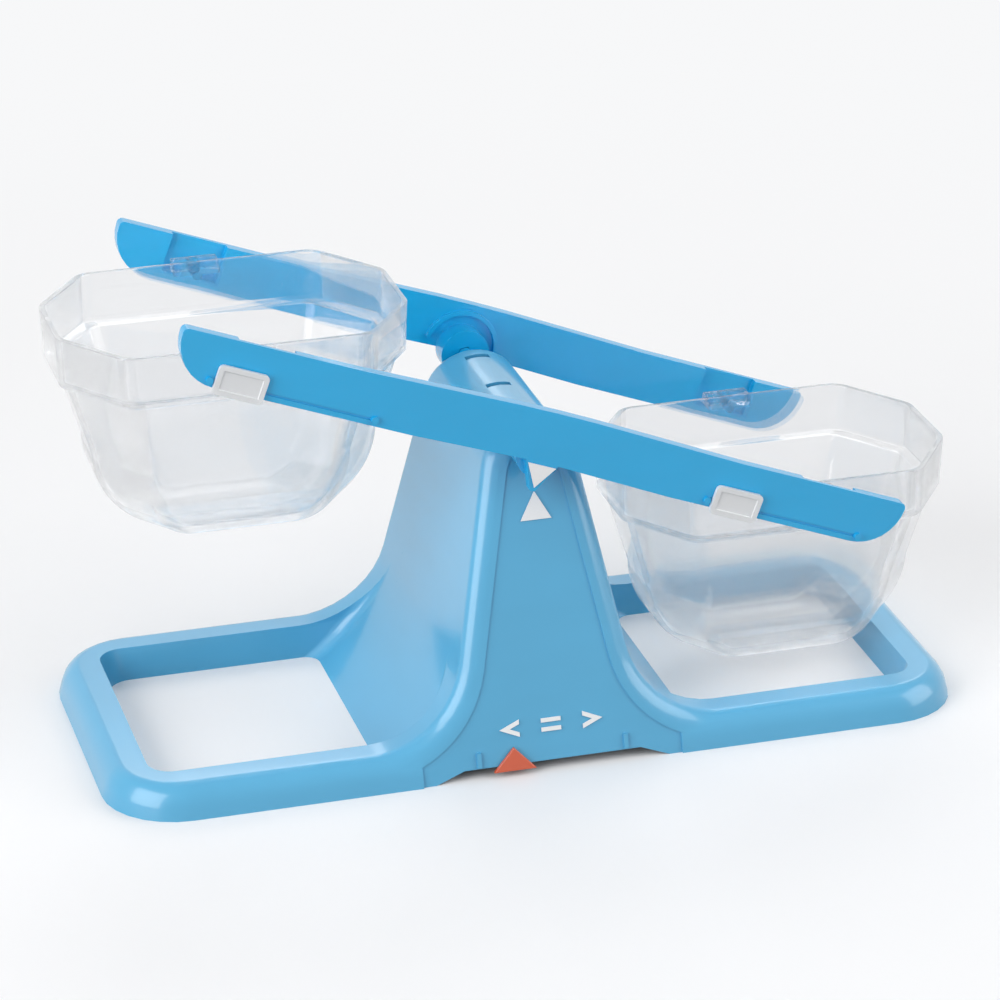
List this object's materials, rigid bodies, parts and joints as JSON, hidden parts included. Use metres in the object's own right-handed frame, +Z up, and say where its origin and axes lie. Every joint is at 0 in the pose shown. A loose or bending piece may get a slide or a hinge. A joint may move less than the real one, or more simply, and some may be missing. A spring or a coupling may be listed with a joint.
{
  "type": "bucket balance",
  "caption": "Toy bucket balance: hollow blue base with a tower and two windows, tilting twin arms with sliders, clear hanging buckets, and a pointer that slides under comparison signs.",
  "frame": {"origin": "on the table under the middle of the base", "axes": "+X along the base towards the bucket that is down at rest, +Y from the front panel with the signs to the back, +Z up"},
  "size_m": [0.3406, 0.1433, 0.1862],
  "materials": {
    "base_plastic": "light satin gloss, sky blue, moulded",
    "arm_plastic": "smooth gloss, deeper blue, moulded",
    "bucket_plastic": "clear, polished, moulded",
    "slider_plastic": "cloudy clear, moulded",
    "pointer_plastic": "satin gloss, orange red, moulded",
    "print_white": "flat white print"
  },
  "bodies": {
    "base": {"base_shell": "base_plastic", "mark_less": "print_white", "mark_equal_upper": "print_white", "mark_equal_lower": "print_white", "mark_greater": "print_white", "tower_triangle": "print_white"},
    "pointer": {"comparison_pointer": "pointer_plastic"},
    "beam": {"front_arm": "arm_plastic", "back_arm": "arm_plastic", "pivot_axle": "arm_plastic", "arm_triangle": "print_white"},
    "left_slider": {"compensator_left": "slider_plastic"},
    "right_slider": {"compensator_right": "slider_plastic"},
    "left_hanger": {"left_bucket": "bucket_plastic"},
    "right_hanger": {"right_bucket": "bucket_plastic"}
  },
  "joints": [
    {"name": "beam_tilt", "type": "hinge", "parent": "base", "child": "beam", "pos_m": [0, 0, 0.1215], "axis": [0, 1, 0], "range_deg": [-41.2, 0]},
    {"name": "left_swing", "type": "hinge", "parent": "beam", "child": "left_hanger", "pos_m": [-0.10355, 0, 0.16576], "axis": [0, 1, 0], "range_deg": [-5, 46.2]},
    {"name": "right_swing", "type": "hinge", "parent": "beam", "child": "right_hanger", "pos_m": [0.10707, 0, 0.0866], "axis": [0, 1, 0], "range_deg": [-5, 46.2]},
    {"name": "left_slide", "type": "slide", "parent": "beam", "child": "left_slider", "axis": [0.9361, 0, -0.3518], "range_m": [0, 0.0405]},
    {"name": "right_slide", "type": "slide", "parent": "beam", "child": "right_slider", "axis": [0.9361, 0, -0.3518], "range_m": [0, 0.0405]},
    {"name": "pointer_slide", "type": "slide", "parent": "base", "child": "pointer", "axis": [1, 0, 0], "range_m": [-0.004, 0.034]}
  ]
}
